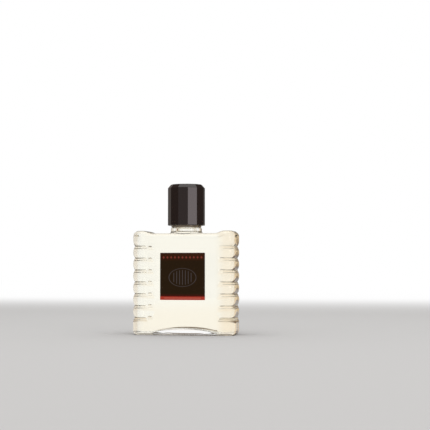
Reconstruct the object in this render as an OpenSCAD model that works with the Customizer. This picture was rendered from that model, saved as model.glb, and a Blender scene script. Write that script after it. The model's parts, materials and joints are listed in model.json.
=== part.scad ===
// Ribbed glass flask for aftershave, with a pour plug and a twelve-sided screw cap.
// Millimetres, +Z up, origin on the table under the middle of the bottle, label towards -Y.

/* [Glass body] */
// Width across the ribbed ends
body_w = 93; // [84:0.5:104]
// Depth over the flat front and back panels
body_d = 36; // [32:0.5:42]
// Height of the ribbed end blocks above the table
body_h = 92.7; // [86:0.1:102]
// How far the shoulder lies below the top of the end blocks
shoulder_drop = 2.3; // [1:0.1:3.5]
// Width of the flat front and back panels
panel_w = 59.4; // [50:0.2:64]
// How far the flat panels stand proud of the ribs
panel_proud = 0.15; // [0.1:0.05:0.4]
// Radius where a flat panel rolls down into the grooves
panel_edge_r = 5; // [3:0.5:6]
// Radius of the body's upright corners, seen from above
corner_r = 8; // [6:0.5:10]
// Radius along the foot of the body
heel_r = 4; // [2:0.25:4.5]
// Radius along the top edge of the body
crown_r = 5; // [3:0.25:6]
// Half the length of the level part of the shoulder
saddle_flat = 28; // [25:0.5:31]
// Length over which the shoulder climbs to each end block
saddle_rise_l = 9; // [6:0.5:12]

/* [Ribs] */
// Height of the lowest groove
groove_z = 15.4; // [12:0.1:17]
// Least height left plain above the highest groove
top_band = 12; // [10:0.5:16]
// Distance from groove to groove
groove_pitch = 10.57; // [9.8:0.01:10.9]
// Depth of a groove below the crests beside it
groove_depth = 1.5; // [0.8:0.1:2]

/* [Glass inside] */
// Thickness of the front and back walls behind the crests
wall = 3.2; // [2.6:0.1:3.6]
// Thickness of the end walls behind the crests
end_wall = 2.4; // [2:0.1:3.6]
// Thickness of the shoulder over the hollow
top_wall = 2.2; // [1.8:0.1:3.4]
// Radius of the hollow's upright corners
hollow_corner_r = 5.5; // [3.5:0.25:6]
// Radius round the hollow's top and bottom edges
hollow_edge_r = 4; // [2:0.25:5]
// Glass thickness at the foot of the side walls
floor_t = 3.3; // [3:0.1:5]
// Height that the hollow's floor arches up in the middle
floor_rise = 4.7; // [3:0.1:6]
// Length of the arch in the floor
floor_arch_l = 58; // [50:0.5:64]
// Length of the push-up under the base
push_l = 56; // [46:0.5:62]
// Depth of the push-up under the base, front to back
push_d = 20; // [14:0.5:22]
// Height of the push-up under the base
push_rise = 2; // [1:0.1:2.5]

/* [Neck] */
// Radius over the crests of the neck thread
thread_crest_r = 11.9; // [11.2:0.05:12.4]
// Radius of the neck's bore
bore_r = 7.6; // [7:0.05:8.2]
// Height of the sealing lip above the bead
lip_rise = 17.6; // [15:0.1:20]
// Radius of the bead between the thread and the shoulder
bead_r = 13.9; // [13:0.1:14.6]
// Height of the bead's top face above the shoulder
bead_rise = 5; // [4.4:0.1:5.6]
// Radius where the neck flares into the shoulder
neck_flare_r = 3.6; // [2.5:0.1:4]
// Radius rounding the lip's outer edge
lip_r = 0.8; // [0.4:0.1:1.2]

/* [Aftershave] */
// How far the liquid stands up in the neck above the shoulder
fill_rise = 1.1; // [0.1:0.1:5]
// Gap that keeps the liquid clear of the glass
liquid_gap = 0.08; // [0.05:0.01:0.2]

/* [Pour plug] */
// Radius of the plug's flange
flange_r = 10.2; // [9:0.1:10.8]
// Thickness of the plug's flange
flange_t = 0.8; // [0.6:0.1:1.2]
// Length of the plug's tube below the lip
plug_l = 10; // [6:0.5:13]
// Wall of the plug's tube
plug_wall = 1.1; // [0.8:0.1:1.5]
// Radius of the pouring hole
pour_r = 2.5; // [1.5:0.1:3.5]
// Clearance between the plug and the neck's bore
plug_fit = 0.03; // [0.02:0.01:0.1]
// Depth of the two sealing ribs' roots below their crests
seal_rib_h = 0.35; // [0.2:0.05:0.5]

/* [Cap] */
// Radius across the corners of the twelve-sided shell
cap_r = 16.75; // [16.2:0.05:18]
// Height of the twelve-sided shell
cap_h = 36.9; // [31:0.1:42]
// Gap between the neck bead and the shell's lower edge
shell_gap = 2.3; // [1.6:0.1:3.6]
// Width of the bevel round the top of the shell
bevel_w = 2.7; // [1.5:0.1:3.5]
// Height of the bevel round the top of the shell
bevel_h = 3.2; // [2:0.1:4]
// Thickness of the shell's top
shell_top_t = 3; // [2.4:0.1:4]
// Width of the ledge in the shell that stops the insert
ledge_w = 1.6; // [1:0.1:2]

/* [Cap insert] */
// Outer radius of the threaded insert
insert_r = 13.5; // [13.3:0.05:13.8]
// Gap between the insert's lower edge and the neck bead
skirt_gap = 0.4; // [0.3:0.05:0.8]
// Thickness of the insert's top
insert_top_t = 2; // [1.5:0.1:2.5]
// Gap between the insert and the thread crests of the neck
thread_gap = 0.3; // [0.25:0.05:0.4]
// Clearance between the insert and the shell
insert_fit = 0.03; // [0.02:0.01:0.1]
// Radius rounding the insert's lower edge
skirt_edge_r = 0.4; // [0.2:0.1:0.6]

/* [Liner] */
// Thickness of the sealing disc
liner_t = 1; // [0.8:0.1:1.5]
// Clearance round the sealing disc
liner_fit = 0.2; // [0.1:0.05:0.4]

/* [Label] */
// Width of the front label
label_w = 40.4; // [36:0.2:46]
// Height of the front label
label_h = 41.8; // [36:0.2:46]
// Height of the label's lower edge
label_z = 31.2; // [26:0.2:36]
// Thickness of the label
label_t = 0.15; // [0.1:0.05:0.3]

/* [Hidden] */
$fn = 96;

// The ribs' crests lie just inside the flat panels.
crest_d = body_d - 2 * panel_proud;
corner_x = body_w / 2 - corner_r;
corner_y = crest_d / 2 - corner_r;
// A rib's arc spans one pitch and is as deep as a groove.
rib_r = (pow(groove_pitch / 2, 2) + pow(groove_depth, 2)) / (2 * groove_depth);
groove_count = floor((body_h - top_band - groove_z) / groove_pitch) + 1;
last_groove_z = groove_z + (groove_count - 1) * groove_pitch;
hollow_w = body_w - 2 * end_wall;
hollow_d = crest_d - 2 * wall;
shoulder_z = body_h - shoulder_drop;
ceiling_z = shoulder_z - top_wall;
fill_z = shoulder_z + fill_rise;
bead_z = shoulder_z + bead_rise;
lip_z = bead_z + lip_rise;
shell_z = bead_z + shell_gap;
cap_top_z = shell_z + cap_h;
insert_z = bead_z + skirt_gap;
liner_z = lip_z + flange_t;
insert_roof_z = liner_z + liner_t;
ledge_z = insert_roof_z + insert_top_t;
insert_bore_r = thread_crest_r + thread_gap;
shell_bore_r = insert_r + insert_fit;
cap_apothem = cap_r * cos(15);
// Overlap of cutting tools past the faces that they cut
past = 1;

// Radius of the circle through both ends of a chord and the top of its rise.
function arc_r(chord, rise) = (pow(chord / 2, 2) + pow(rise, 2)) / (2 * rise);

// Revolves a section, which may reach past the axis, round the Z axis.
module turned(angle = 360) {
  rotate_extrude(angle = angle) intersection() {
    square([body_w, 2 * body_h]);
    children();
  }
}

// A quarter disc in the corner between the axes.
module quarter(r) {
  intersection() {
    circle(r);
    square([r, r]);
  }
}

// An upright rectangle from x = -reach to 0, with its two right corners rounded.
module rounded_edge(reach, z0, z1, low_r, high_r) {
  translate([-reach, z0 + low_r]) square([reach, z1 - z0 - low_r - high_r]);
  if (low_r > 0) {
    if (reach > low_r) translate([-reach, z0]) square([reach - low_r, low_r]);
    translate([-low_r, z0 + low_r]) mirror([0, 1]) quarter(low_r);
  }
  if (high_r > 0) {
    if (reach > high_r) translate([-reach, z1 - high_r]) square([reach - high_r, high_r]);
    translate([-high_r, z1 - high_r]) quarter(high_r);
  }
}

// A rectangle centred on x = 0 from z0 up to z1 with rounded corners.
module rounded_panel(w, z0, z1, low_r, high_r) {
  for (side = [0, 1]) mirror([side, 0])
    translate([w / 2, 0]) rounded_edge(w / 2, z0, z1, low_r, high_r);
}

// A centred rectangle with all four corners rounded.
module rounded_plan(w, d, r) {
  translate([0, -d / 2]) rounded_panel(w, 0, d, r, r);
}

// The part of a rib's bulge between z0 and z0 + h; its crest touches x = 0 at crest_z.
module bulge(reach, crest_z, z0, h) {
  intersection() {
    translate([-rib_r, crest_z]) circle(rib_r);
    translate([-min(reach, rib_r), z0]) square([min(reach, rib_r), h]);
  }
  if (reach > rib_r) translate([-reach, z0]) square([reach - rib_r, h]);
}

// Outline of the ribbed ends in section: a foot band, the ribs and a top band.
module ribbed_edge(reach) {
  half = groove_pitch / 2;
  rounded_edge(reach, 0, groove_z - half, heel_r, 0);
  bulge(reach, groove_z - half, groove_z - half, half);
  for (k = [0 : groove_count - 2])
    bulge(reach, groove_z + (k + 0.5) * groove_pitch, groove_z + k * groove_pitch, groove_pitch);
  bulge(reach, last_groove_z + half, last_groove_z, half);
  rounded_edge(reach, last_groove_z + half, body_h, 0, crown_r);
}

// The ribs run along the front, round the corners and across the ends.
module ribbed_block() {
  rotate([90, 0, 90]) linear_extrude(height = 2 * corner_x, center = true)
    for (side = [0, 1]) mirror([side, 0])
      translate([crest_d / 2, 0]) ribbed_edge(crest_d / 2);
  for (side = [0, 1]) mirror([side, 0, 0]) {
    rotate([90, 0, 0]) linear_extrude(height = 2 * corner_y, center = true)
      translate([body_w / 2, 0]) ribbed_edge(corner_r);
    for (face = [0, 1]) mirror([0, face, 0])
      translate([corner_x, corner_y, 0]) turned(90)
        translate([corner_r, 0]) ribbed_edge(corner_r + past);
  }
}

// The smooth slab between the flat front and back panels; its rounded edges close the grooves.
module panel_slab() {
  intersection() {
    linear_extrude(height = body_h)
      rounded_plan(panel_w + 2 * panel_edge_r, body_d, panel_edge_r);
    rotate([90, 0, 90]) linear_extrude(height = body_w, center = true)
      rounded_panel(body_d, 0, body_h, heel_r, crown_r);
  }
}

// Side view of what lies above the saddle-shaped shoulder.
module above_saddle() {
  steps = 12;
  climb = [for (i = [0 : steps])
    [saddle_flat + saddle_rise_l * i / steps,
     shoulder_z + shoulder_drop * (1 - cos(180 * i / steps)) / 2]];
  right_side = concat(climb, [[saddle_flat + saddle_rise_l, body_h + past]]);
  left_side = [for (i = [len(right_side) - 1 : -1 : 0]) [-right_side[i][0], right_side[i][1]]];
  polygon(concat(left_side, right_side));
}

module saddle_cut() {
  rotate([90, 0, 0]) linear_extrude(height = body_d + 2 * past, center = true) above_saddle();
}

// Neck outside: a flared foot, the bead and the cylinder over the thread crests.
module neck() {
  // The flare dips a little into the shoulder, so that it leaves it at an angle.
  dip = 0.25;
  intersection() {
    rotate_extrude() difference() {
      translate([0, shoulder_z - top_wall / 2])
        square([bead_r + neck_flare_r, bead_z - shoulder_z + top_wall / 2]);
      translate([bead_r + neck_flare_r, shoulder_z + neck_flare_r - dip]) circle(neck_flare_r);
      translate([bead_r, shoulder_z + neck_flare_r - dip])
        square([neck_flare_r + past, body_h]);
    }
    translate([0, 0, shoulder_z]) cube([body_w, body_d - crown_r, 4 * neck_flare_r], center = true);
  }
  turned() translate([thread_crest_r, 0])
    rounded_edge(thread_crest_r + past, bead_z - past, lip_z, 0, lip_r);
}

// The hollow of the bottle below the neck, shrunk by a gap on every side. Its ceiling follows the saddle.
module hollow(gap) {
  w = hollow_w - 2 * gap;
  d = hollow_d - 2 * gap;
  z0 = floor_t + gap;
  z1 = body_h - top_wall - gap;
  arch_r = arc_r(floor_arch_l, floor_rise);
  intersection() {
    translate([0, 0, z0]) linear_extrude(height = z1 - z0)
      rounded_plan(w, d, hollow_corner_r - gap);
    rotate([90, 0, 0]) linear_extrude(height = body_d, center = true) difference() {
      rounded_panel(w, z0, z1, hollow_edge_r, hollow_edge_r);
      translate([0, floor_t + floor_rise - arch_r]) circle(arch_r + gap, $fn = 360);
      translate([0, -top_wall - gap]) above_saddle();
    }
    rotate([90, 0, 90]) linear_extrude(height = body_w, center = true)
      rounded_panel(d, 0, z1, hollow_edge_r, hollow_edge_r);
  }
}

// The shallow arch pressed up under the base, so that the bottle stands on its rim.
module push_up() {
  push_arc_r = arc_r(push_l, push_rise);
  rotate([90, 0, 0]) linear_extrude(height = push_d, center = true) intersection() {
    translate([0, push_rise - push_arc_r]) circle(push_arc_r, $fn = 360);
    translate([-push_l / 2 - past, -past]) square([push_l + 2 * past, push_rise + 2 * past]);
  }
}

module glass_bottle() {
  color([0.93, 0.92, 0.84, 0.45]) difference() {
    union() {
      difference() {
        union() {
          ribbed_block();
          panel_slab();
        }
        saddle_cut();
      }
      neck();
    }
    hollow(0);
    translate([0, 0, ceiling_z - past]) cylinder(r = bore_r, h = lip_z - ceiling_z + 2 * past);
    push_up();
  }
}

module aftershave_liquid() {
  color([0.96, 0.92, 0.76, 0.7]) {
    hollow(liquid_gap);
    translate([0, 0, ceiling_z - past])
      cylinder(r = bore_r - liquid_gap, h = fill_z - ceiling_z + past);
  }
}

// A snap-in reducer: a flange on the lip and a tube with two sealing ribs in the bore.
module pour_plug() {
  tube_r = bore_r - plug_fit;
  root_r = tube_r - seal_rib_h;
  rib_h = plug_l / 5;
  color("whitesmoke") rotate_extrude() difference() {
    union() {
      translate([0, lip_z]) square([flange_r, flange_t]);
      translate([0, lip_z - plug_l]) square([root_r, plug_l]);
      for (low = [lip_z - 2 * rib_h, lip_z - 4 * rib_h])
        translate([0, low]) square([tube_r, rib_h]);
    }
    translate([-past, lip_z - plug_l - past]) square([root_r - plug_wall + past, plug_l + past]);
    translate([-past, lip_z - past]) square([pour_r + past, flange_t + 2 * past]);
  }
}

module front_label() {
  color([0.16, 0.12, 0.08]) translate([-label_w / 2, -body_d / 2 - label_t, label_z])
    cube([label_w, label_t, label_h]);
}

// One flat of the bevel round the top of the shell, as the block that is cut away.
module bevel_cut() {
  tilt = atan(bevel_w / bevel_h);
  translate([cap_apothem, 0, cap_top_z - bevel_h]) rotate([0, -tilt, 0])
    translate([0, -cap_r, -past]) cube([cap_r, 2 * cap_r, 3 * bevel_h]);
}

module cap_shell() {
  cavity_r = shell_bore_r - ledge_w;
  color([0.1, 0.09, 0.09]) difference() {
    rotate([0, 0, 15]) translate([0, 0, shell_z])
      cylinder(r = cap_r, h = cap_top_z - shell_z, $fn = 12);
    for (flat = [0 : 11]) rotate([0, 0, 30 * flat]) bevel_cut();
    translate([0, 0, shell_z - past]) cylinder(r = shell_bore_r, h = ledge_z - shell_z + past);
    translate([0, 0, shell_z])
      cylinder(r = cavity_r, h = cap_top_z - shell_top_t - shell_z);
  }
}

module cap_insert() {
  color([0.07, 0.07, 0.07]) turned() difference() {
    translate([insert_r, 0]) rounded_edge(insert_r + past, insert_z, ledge_z, skirt_edge_r, 0);
    translate([-past, insert_z - past])
      square([insert_bore_r + past, insert_roof_z - insert_z + past]);
  }
}

module cap_liner() {
  color("ivory") translate([0, 0, liner_z]) cylinder(r = insert_bore_r - liner_fit, h = liner_t);
}

glass_bottle();
aftershave_liquid();
pour_plug();
front_label();
cap_shell();
cap_insert();
cap_liner();
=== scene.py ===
# %% [markdown]
# # A ribbed glass flask of aftershave
#
# This lesson builds a flat glass bottle with ribbed ends, the pale liquid inside it, a dark label and a
# twelve-sided black cap. Each piece is one closed skin made from a grid of points, so its walls are real
# walls, and light bends through them as it does through the real thing. Shapes and the label's print are
# worked out in millimetres, and each mesh is turned into metres as it is made. Everything else is in
# metres: the other materials, the floor, the lamps and the camera.
#
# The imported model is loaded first. It is the frame: it says where each piece sits and how the cap moves.

# %% Load the frame
import json
import math

import bpy
import numpy as np
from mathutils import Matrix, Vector

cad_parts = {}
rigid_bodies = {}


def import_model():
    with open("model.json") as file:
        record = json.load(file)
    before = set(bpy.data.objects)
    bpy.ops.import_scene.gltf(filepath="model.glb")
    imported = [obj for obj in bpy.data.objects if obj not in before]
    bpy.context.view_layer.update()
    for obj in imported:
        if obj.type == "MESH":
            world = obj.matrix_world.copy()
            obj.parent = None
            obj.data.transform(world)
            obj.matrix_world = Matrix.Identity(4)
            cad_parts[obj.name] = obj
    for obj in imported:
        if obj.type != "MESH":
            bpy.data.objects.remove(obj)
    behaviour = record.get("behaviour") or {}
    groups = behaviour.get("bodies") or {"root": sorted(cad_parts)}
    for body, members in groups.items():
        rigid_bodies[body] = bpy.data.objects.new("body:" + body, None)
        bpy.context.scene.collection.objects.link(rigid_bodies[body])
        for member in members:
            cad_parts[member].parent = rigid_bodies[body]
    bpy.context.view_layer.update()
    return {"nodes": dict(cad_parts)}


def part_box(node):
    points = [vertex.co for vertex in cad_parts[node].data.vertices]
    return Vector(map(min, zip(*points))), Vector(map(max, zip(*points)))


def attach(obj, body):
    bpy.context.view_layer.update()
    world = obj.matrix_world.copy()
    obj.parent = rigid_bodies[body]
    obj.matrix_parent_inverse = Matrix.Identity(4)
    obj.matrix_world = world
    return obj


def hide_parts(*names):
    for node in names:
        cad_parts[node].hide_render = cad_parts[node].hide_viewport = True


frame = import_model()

MM = 0.001
print("pieces in the frame:", sorted(frame["nodes"]))

# %% [markdown]
# ## Sizes
#
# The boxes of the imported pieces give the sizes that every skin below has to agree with. Reading them
# from the frame, and not typing them again, keeps the dressed bottle and the moving model in step.

# %% Read the sizes from the frame
glass_high = np.array(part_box("glass_bottle")[1]) / MM
liquid_high = np.array(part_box("aftershave_liquid")[1]) / MM
label_low, label_high = (np.array(v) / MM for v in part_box("front_label"))
shell_low, shell_high = (np.array(v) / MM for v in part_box("cap_shell"))
insert_low, insert_high = (np.array(v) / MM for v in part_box("cap_insert"))
plug_low, plug_high = (np.array(v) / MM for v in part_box("pour_plug"))
liner_low, liner_high = (np.array(v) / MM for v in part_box("cap_liner"))

HALF_W, HALF_D = glass_high[0], glass_high[1]
LIP_Z, FILL_Z = glass_high[2], liquid_high[2]
print("body half width, half depth and lip height in mm:", *(round(v, 2) for v in (HALF_W, HALF_D, LIP_Z)))

# %% [markdown]
# ## One skin for every piece
#
# A bottle, a cap and a plug can all be described as rings of points stacked one above the other. `skin`
# turns such rings into one closed mesh: neighbouring rings are joined by quads, the last column joins the
# first, and a single point closes each end. One helper for all the pieces means that seams, poles and
# the direction of the faces only have to be got right once.

# %% Rings into a mesh


def linked(name, data):
    """A new object in the scene that holds the given mesh, light or camera."""
    made = bpy.data.objects.new(name, data)
    bpy.context.scene.collection.objects.link(made)
    return made


def skin(name, rings, ends, body, replaces, materials, wet=None):
    """Closed mesh from rows of rings in mm. ends are the two points that close it, or None for a tube
    whose last row joins its first.

    Row i, column j is vertex i * columns + j. Each quad joins (i, j), (i, j + 1), (i + 1, j + 1) and
    (i + 1, j), which faces outwards when the rows climb and the columns run anticlockwise. wet is a
    true or false array, one value a quad row, that gives those rows the second material."""
    rows, columns = rings.shape[:2]
    here = np.arange(columns)
    there = np.roll(here, -1)
    low = (np.arange(rows if ends is None else rows - 1) * columns)[:, None]
    high = (low + columns) % (rows * columns)
    quads = np.stack([low + here, low + there, high + there, high + here], -1)
    points, fans = rings.reshape(-1, 3), np.zeros((0, 3), int)
    if ends is not None:
        first, top = rows * columns, (rows - 1) * columns
        lower = np.stack([np.full(columns, first), there, here], -1)
        upper = np.stack([top + here, top + there, np.full(columns, first + 1)], -1)
        fans, points = np.concatenate([lower, upper]), np.concatenate([points, ends])
    points = points * MM
    mesh = bpy.data.meshes.new(name)
    mesh.vertices.add(len(points))
    mesh.vertices.foreach_set("co", points.ravel())
    corners = np.concatenate([quads.ravel(), fans.ravel()])
    sizes = np.concatenate([np.full(quads.shape[0] * columns, 4), np.full(len(fans), 3)])
    mesh.loops.add(len(corners))
    mesh.loops.foreach_set("vertex_index", corners)
    mesh.polygons.add(len(sizes))
    mesh.polygons.foreach_set("loop_start", np.cumsum(sizes) - sizes)
    mesh.polygons.foreach_set("use_smooth", np.ones(len(sizes), bool))
    if wet is not None:
        # The fans that close the ends take the material of the row beside them.
        index = np.repeat(np.concatenate([wet, wet[[0, -1]]]), columns)
        mesh.polygons.foreach_set("material_index", index.astype(np.int32))
    mesh.update(calc_edges=True)
    mesh.validate()
    for look in materials:
        mesh.materials.append(look)
    piece = linked(name, mesh)
    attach(piece, body)
    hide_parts(replaces)
    triangles = int((sizes - 2).sum())
    print(f"{name}: {len(points)} points, {triangles} triangles")


def raised(plan, height):
    """Rings of points from a plan of x and y, rows by columns, and heights that spread over it."""
    return np.concatenate([plan, np.broadcast_to(height, plan.shape[:2])[..., None]], -1)


def along(directions, profile):
    """Rings that reach out in the given directions, as far and as high as the (radius, height) profile."""
    return raised(directions[None] * profile[:, None, :1], profile[:, 1:])


def poles(low, high):
    """The two points that close a piece, on the axis at those heights."""
    return [(0, 0, low), (0, 0, high)]


print("two points at radius 2 and height 5:", along(np.eye(2), np.array([[2.0, 5.0]])).tolist())

# %% [markdown]
# ## Materials
#
# Every material is a small node tree driven by object coordinates, which here are simply places in
# metres, because each piece sits at the origin. Nodes are easier to follow when their wiring reads like
# a sentence, so a few helpers come first: one makes any node, and the others say where a value lies
# and lay one colour over another.

# %% Helpers for node trees


def node(tree, kind, settings=None, **inputs):
    """A new node. Inputs are named by their label, or by i and their number. A socket given as the
    value is linked, and anything else is filled in."""
    made = tree.nodes.new(kind)
    for key, value in (settings or {}).items():
        setattr(made, key, value)
    for key, value in inputs.items():
        socket = made.inputs[int(key[1:]) if key[1:].isdigit() else key.replace("_", " ")]
        if isinstance(value, bpy.types.NodeSocket):
            tree.links.new(value, socket)
        else:
            socket.default_value = value
    return made


def math_node(tree, operation, a, b=0.0):
    return node(tree, "ShaderNodeMath", {"operation": operation}, i0=a, i1=b).outputs[0]


def product(tree, first, *others):
    """All the values multiplied together."""
    for other in others:
        first = math_node(tree, "MULTIPLY", first, other)
    return first


def within(tree, value, low, high, soft=0.06):
    """1 where value lies between low and high, with edges softened over soft."""
    rise = node(tree, "ShaderNodeMapRange", {"clamp": True}, Value=value, i1=low - soft, i2=low + soft)
    fall = node(tree, "ShaderNodeMapRange", {"clamp": True}, Value=value, i1=high + soft, i2=high - soft)
    return product(tree, rise.outputs[0], fall.outputs[0])


def eased(tree, value, low, high, first=0.0, last=1.0):
    """first below low, last above high, and smooth between them."""
    smooth = {"interpolation_type": "SMOOTHERSTEP"}
    ease = node(tree, "ShaderNodeMapRange", smooth, Value=value, i1=low, i2=high, i3=first, i4=last)
    return ease.outputs[0]


def over(tree, below, colour, amount):
    """colour laid over what is below, as much as amount says. Both can be a colour or a socket."""
    below, colour = (c if isinstance(c, bpy.types.NodeSocket) else (*c, 1.0) for c in (below, colour))
    return node(tree, "ShaderNodeMix", {"data_type": "RGBA"}, i0=amount, i6=below, i7=colour).outputs[2]


def place_on(tree):
    """The place on the piece, in metres, as one vector."""
    return tree.nodes.new("ShaderNodeTexCoord").outputs["Object"]


def places(tree):
    """The place on the piece, in metres, as its x, y and z."""
    return node(tree, "ShaderNodeSeparateXYZ", Vector=place_on(tree)).outputs


def material(name):
    """A new material, its tree, its Principled shader and its output."""
    made = bpy.data.materials.new(name)
    made.use_nodes = True
    tree = made.node_tree
    return made, tree, tree.nodes["Principled BSDF"], tree.nodes["Material Output"]


print("node helpers are ready")

# %% [markdown]
# ### Two shared effects
#
# Small faults matter as much as colours: anything from a mould is a little wavy, and a polished cap
# carries a faint haze. More than one material wants each of them, so each is a node group, made once and
# then placed with its own numbers wherever it fits.

# %% Node groups


def group(name, output, inputs):
    """A new group with one number as its output, and its input and output nodes."""
    tree = bpy.data.node_groups.new(name, "ShaderNodeTree")
    for label, value in inputs:
        socket = tree.interface.new_socket(label, in_out="INPUT", socket_type="NodeSocketFloat")
        socket.default_value = value
    tree.interface.new_socket(output, in_out="OUTPUT", socket_type="NodeSocketFloat")
    return tree, tree.nodes.new("NodeGroupInput"), tree.nodes.new("NodeGroupOutput")


def moulded_wave():
    """Slow unevenness of a moulded surface, as a height."""
    tree, given, out = group("moulded_wave", "Height", [("Scale", 60.0)])
    wave = node(tree, "ShaderNodeTexNoise", Vector=place_on(tree), Scale=given.outputs["Scale"], Detail=1.0)
    tree.links.new(wave.outputs[0], out.inputs["Height"])
    return tree


def handling_haze():
    """Fine haze on a polished surface, as a roughness between the low and high values."""
    tree, given, out = group("handling_haze", "Roughness", [("Low", 0.08), ("High", 0.16), ("Scale", 400.0)])
    grain = node(tree, "ShaderNodeTexNoise", Vector=place_on(tree), Scale=given.outputs["Scale"], Detail=3.0)
    low, high = given.outputs["Low"], given.outputs["High"]
    spread = node(tree, "ShaderNodeMapRange", Value=grain.outputs[0], i1=0.3, i2=0.7, i3=low, i4=high)
    tree.links.new(spread.outputs[0], out.inputs["Roughness"])
    return tree


WAVE, HAZE = moulded_wave(), handling_haze()


def waved(tree, shader, height, scale):
    """Wave the surface by height in metres. A larger scale makes shorter waves."""
    wave = node(tree, "ShaderNodeGroup", {"node_tree": WAVE}, Scale=scale)
    bump = node(tree, "ShaderNodeBump", Strength=1.0, Distance=height, Height=wave.outputs["Height"])
    tree.links.new(bump.outputs["Normal"], shader.inputs["Normal"])


def hazed(tree, shader, low, high, scale):
    """Let the roughness wander between low and high. A larger scale makes a finer grain."""
    haze = node(tree, "ShaderNodeGroup", {"node_tree": HAZE}, Low=low, High=high, Scale=scale)
    tree.links.new(haze.outputs["Roughness"], shader.inputs["Roughness"])


print("node groups:", WAVE.name, HAZE.name)

# %% [markdown]
# ### Glass, and glass against liquid
#
# Light bends by the ratio of the two indices at a surface. Outside, that is glass against air, 1.5.
# Inside, the wall is wet, so it is glass against liquid, 1.5 / 1.36. The glass piece therefore has two
# materials, and the liquid's own skin, which lies just inside the wet wall, bends nothing: it only holds
# the colour, as a volume that takes a little blue away over each centimetre.
#
# The outer surface carries painted shade, warm towards the right, as tints that depend on the place: on the
# front of the left corner, growing in steps towards the right end, and deepest on the end wall itself.
# The neck gets a trace of straw from the liquid that stands in it.

# %% Glass and liquid materials
GLASS_IOR, LIQUID_IOR = 1.5, 1.36
GLASS_WAVE = (0.00002, 45.0)  # height in metres, and scale
STRAW, STRAW_DENSITY = (0.9375, 0.85, 0.3125, 1.0), 7.0
WHITE = (1.0, 1.0, 1.0)
# Painted shade on the glass, warm towards the right end, and the neck's straw.
LEFT_CORNER_SHADE, RIGHT_SIDE_WARM_SHADE, RIGHT_CORNER_WARM_SHADE = (0.78, 0.7, 0.62), (0.965, 0.9, 0.82), (0.94, 0.85, 0.74)
END_WALL_FRONT_SHADE, END_WALL_BACK_SHADE, NECK_STRAW = (0.92, 0.71, 0.47), (0.66, 0.48, 0.26), (1.0, 0.997, 0.965)
# The ranges of x, y or z, in metres, over which each tint sets in or fades out.
LEFT_X, FRONT_Y, NECK_Z, SIDE_X = (-0.0458, -0.0409), (-0.013, -0.0105), (0.0895, 0.092), (0.027, 0.037)
CORNER_X, END_X, END_BACK_Y = (0.0405, 0.044), (0.0453, 0.0465), (-0.01, 0.007)


def painted_edge_shade(tree):
    """White, with painted shade and the neck's straw laid over it where the place lies in each one's range,
    in metres.
    """
    x, y, z = places(tree)
    # The left corner, the right side and the end wall get painted shade, warm on the right.
    left_front_shade = product(tree, within(tree, x, *LEFT_X, 0.0008), eased(tree, y, *FRONT_Y, 1.0, 0.0))
    tint = over(tree, WHITE, LEFT_CORNER_SHADE, left_front_shade)
    tint = over(tree, tint, RIGHT_SIDE_WARM_SHADE, eased(tree, x, *SIDE_X))
    tint = over(tree, tint, NECK_STRAW, eased(tree, z, *NECK_Z))
    tint = over(tree, tint, RIGHT_CORNER_WARM_SHADE, eased(tree, x, *CORNER_X))
    end_wall_shade = over(tree, END_WALL_FRONT_SHADE, END_WALL_BACK_SHADE, eased(tree, y, *END_BACK_Y))
    return over(tree, tint, end_wall_shade, eased(tree, x, *END_X))


def clear(name, ior):
    """A clear surface that bends light by ior."""
    made, tree, shader, out = material(name)
    shader.inputs["Base Color"].default_value = (*WHITE, 1.0)
    shader.inputs["Transmission Weight"].default_value = 1.0
    shader.inputs["IOR"].default_value = ior
    shader.inputs["Roughness"].default_value = 0.0
    return made, tree, shader, out


glass, tree, shader, _ = clear("clear_glass", GLASS_IOR)
tree.links.new(painted_edge_shade(tree), shader.inputs["Base Color"])
waved(tree, shader, *GLASS_WAVE)
wet_glass, tree, shader, _ = clear("clear_glass_wet", GLASS_IOR / LIQUID_IOR)
waved(tree, shader, *GLASS_WAVE)
aftershave, tree, _, out = clear("aftershave", 1.0)
straw = node(tree, "ShaderNodeVolumeAbsorption", Color=STRAW, Density=STRAW_DENSITY)
tree.links.new(straw.outputs[0], out.inputs["Volume"])
print("clear materials:", glass.name, wet_glass.name, aftershave.name)

# %% [markdown]
# ## The glass bottle
#
# The real flask is blown in a mould. Its ribs could be cut into a block with booleans, but every long thin
# face that a cut leaves would show in clear glass as a streak, so the surface is one clean grid instead.
#
# The grid covers the whole bottle: it starts in the middle of the base, runs out to the heel, climbs the
# ribbed wall, crosses the shoulder to the neck, climbs the thread, turns over the lip and comes down
# inside to the floor. Each column keeps one place round the body all the way. The columns are crowded
# where the flat panels roll into the ribs and round the corners, and the rows are crowded at the grooves.
#
# The columns stand on the body's outline, a rounded rectangle. Only a quarter of it is worked out, and
# the rest is that quarter mirrored. Depths are measured inwards from this outline along its normals.

# %% Where the columns stand
PROUD = 0.15  # how far the flat panels stand out past the ribs
PANEL_X, PANEL_EDGE_R, PANEL_ROLL = 29.7, 5.0, 3.9
CORNER_R = 8.0 + PROUD
OUT_W, OUT_D = HALF_W + PROUD, HALF_D
STRAIGHT_X, STRAIGHT_Y = OUT_W - CORNER_R, OUT_D - CORNER_R
PANEL_COLUMNS, ROLL_COLUMNS, CORNER_COLUMNS, STRAIGHT_COLUMNS = 25, 9, 10, 4


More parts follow.
